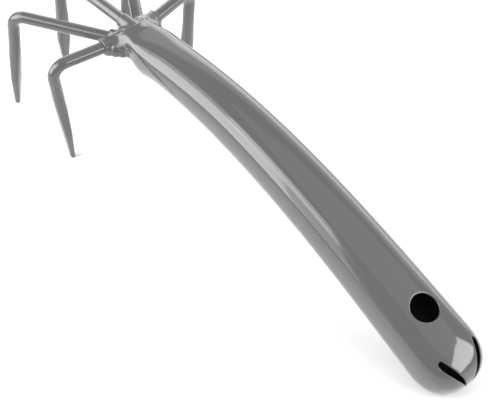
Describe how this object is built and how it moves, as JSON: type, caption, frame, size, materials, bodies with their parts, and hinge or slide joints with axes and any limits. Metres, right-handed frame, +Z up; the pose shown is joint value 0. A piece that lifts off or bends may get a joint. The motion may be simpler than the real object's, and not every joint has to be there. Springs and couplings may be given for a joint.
{
  "type": "hand cultivator",
  "caption": "Hand cultivator with bent pointed tines set in the pinched head of a rolled sheet-steel handle with a hanging hole.",
  "frame": {"origin": "centre of the tool's outline on the ground it rests on, under the handle", "axes": "+X along the tool from the handle's butt towards the tines, +Y to the left of a user holding it tines down, +Z up"},
  "size_m": [0.2901, 0.0908, 0.0765],
  "materials": {
    "handle_enamel": "smooth gloss grey enamel",
    "tine_enamel": "gloss grey enamel on forged bar",
    "weld_enamel": "gloss grey enamel over rough weld"
  },
  "bodies": {
    "root": {"handle_shell": "handle_enamel", "tine_center": "tine_enamel", "tine_inner_left": "tine_enamel", "tine_inner_right": "tine_enamel", "tine_outer_left": "tine_enamel", "tine_outer_right": "tine_enamel", "weld_left": "weld_enamel", "weld_right": "weld_enamel"}
  },
  "joints": []
}
